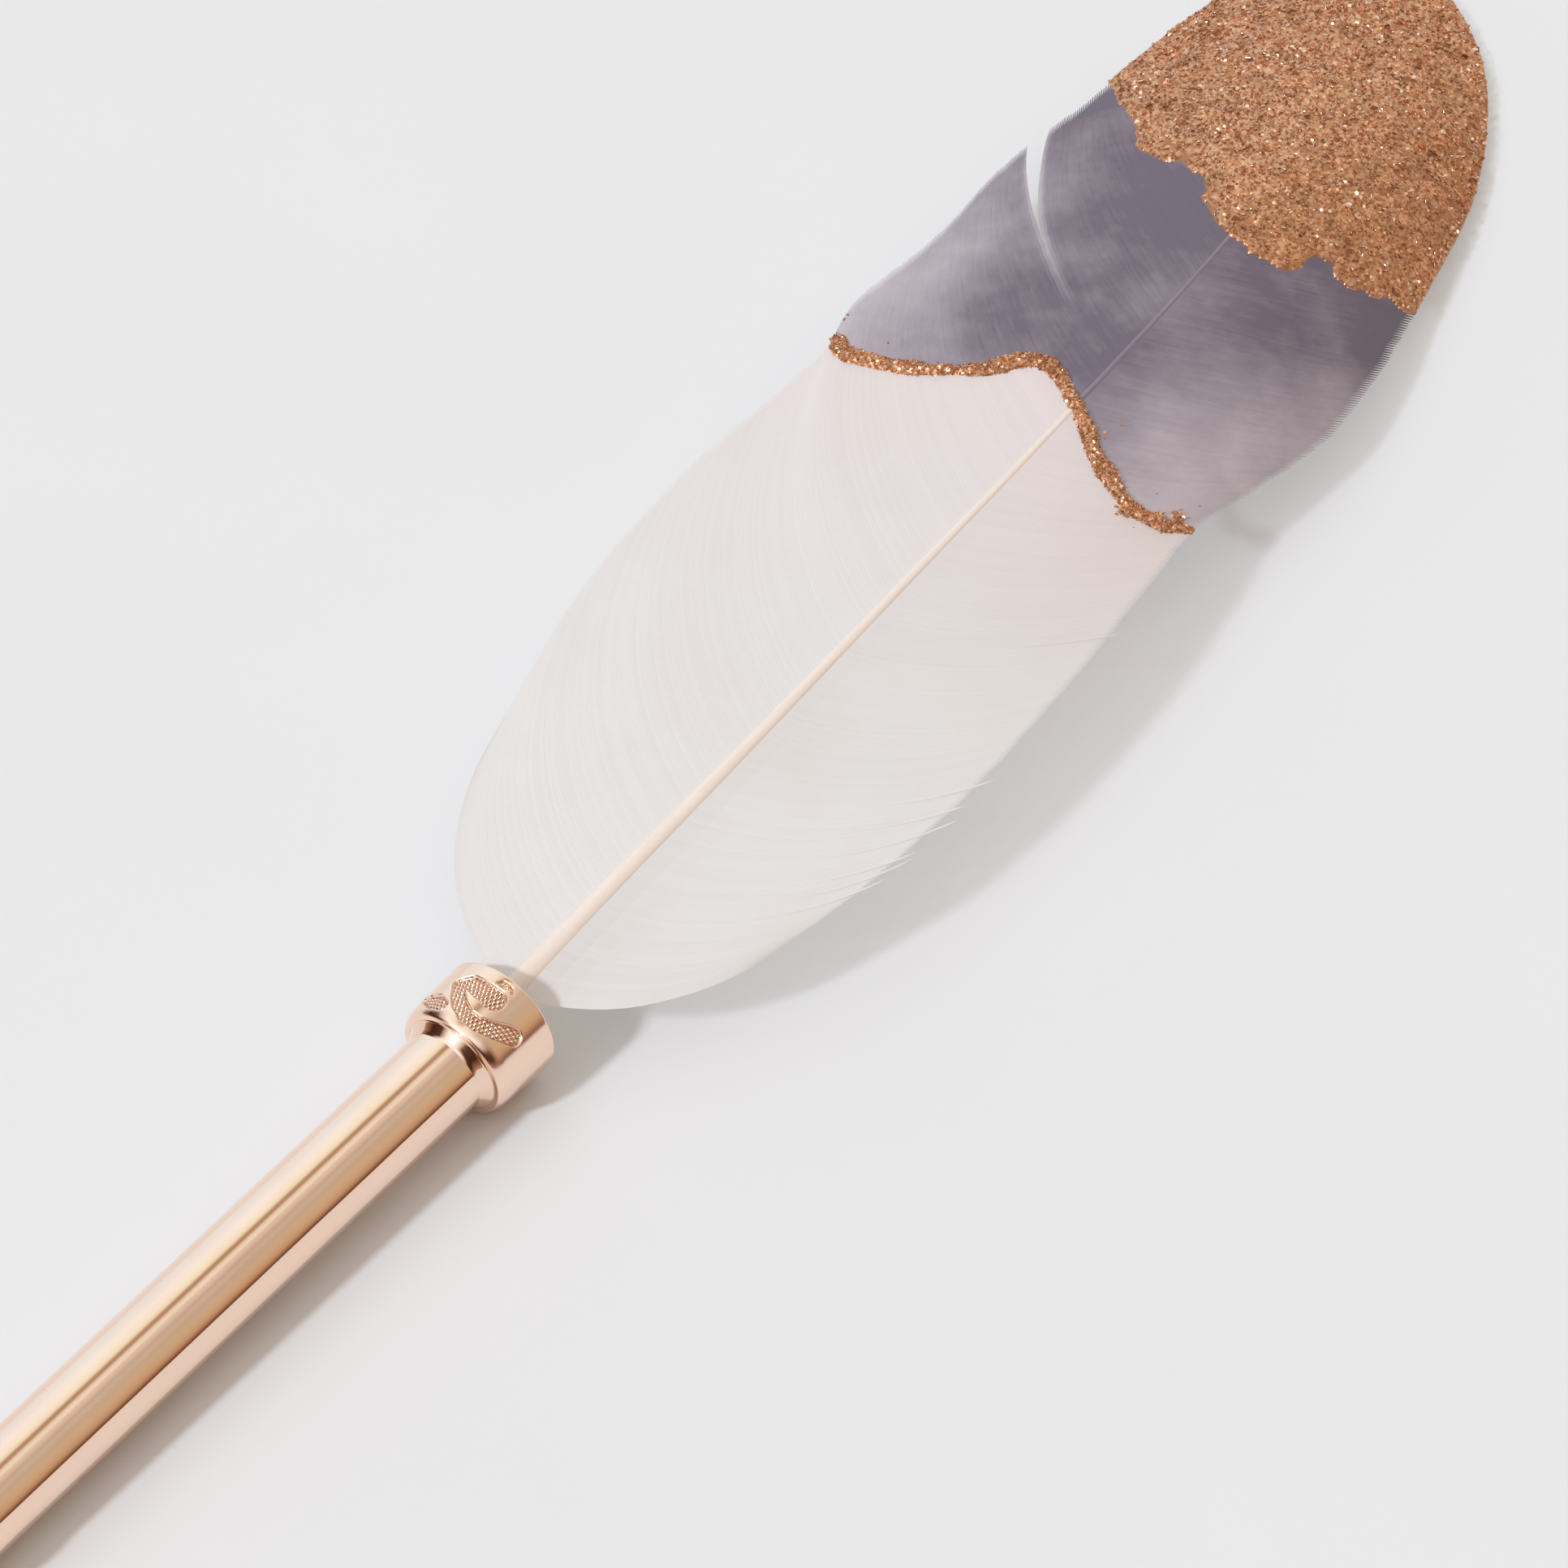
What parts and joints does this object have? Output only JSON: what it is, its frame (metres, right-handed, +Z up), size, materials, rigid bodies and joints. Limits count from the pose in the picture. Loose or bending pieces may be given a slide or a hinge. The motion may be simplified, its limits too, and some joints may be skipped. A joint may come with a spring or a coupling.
{
  "type": "quill pen",
  "caption": "Ballpoint pen lying flat: slim metal twist barrel, ornamental collar and a long curved feather with painted zones, a glitter line and a glitter-dipped tip.",
  "frame": {"origin": "on the table, under the middle of the pen's box in plan", "axes": "+Y runs along the pen from its writing tip to the feather's tip, +Z is up from the table it lies on"},
  "size_m": [0.053, 0.2972, 0.0144],
  "materials": {
    "rose_gold": "polished brass with a rose gold plating",
    "bare_brass": "turned, bare",
    "nylon": "moulded, natural",
    "horn": "the feather's own horn, cream",
    "feather": "combed barbs: white near the collar, mauve-grey beyond the glitter line",
    "glitter": "copper glitter set in clear glue",
    "ink": "black ballpoint ink",
    "grease": "clear grease",
    "ball_steel": "ground and polished"
  },
  "bodies": {
    "upper_half": {"upper_barrel": "rose_gold", "front_bush": "nylon", "cam_sleeve": "nylon", "neck_ring": "rose_gold", "collar": "rose_gold", "quill_plug": "nylon", "quill_shaft": "horn", "left_vane": "feather", "right_vane": "feather", "glitter_line": "glitter", "glitter_tip": "glitter"},
    "mechanism": {"mechanism_housing": "bare_brass", "centre_ring": "rose_gold", "retaining_ring": "bare_brass"},
    "front_half": {"lower_barrel": "rose_gold", "nose_cone": "rose_gold", "thread_insert": "bare_brass"},
    "refill": {"shuttle": "nylon", "refill_tube": "bare_brass", "refill_tip": "bare_brass", "ink_column": "ink", "grease_follower": "grease"},
    "ball": {"writing_ball": "ball_steel"}
  },
  "joints": [
    {"name": "twist", "type": "hinge", "parent": "upper_half", "child": "mechanism", "pos_m": [0.00725, -0.02649, 0.00598], "axis": [0, 0.9999, 0.0165], "range_deg": [0, 180]},
    {"name": "front_pull", "type": "slide", "parent": "mechanism", "child": "front_half", "axis": [0, -0.9999, -0.0165], "range_m": [0, 0.06]},
    {"name": "refill_travel", "type": "slide", "parent": "mechanism", "child": "refill", "axis": [0, -0.9999, -0.0165], "range_m": [0, 0.0055]},
    {"name": "ball_roll", "type": "hinge", "parent": "refill", "child": "ball", "pos_m": [0.00725, -0.14582, 0.00401], "axis": [1, 0, 0], "continuous": true}
  ],
  "couplings": [
    {"joint": "refill_travel", "follows": "twist", "m_per_rad": 0.0017507}
  ]
}
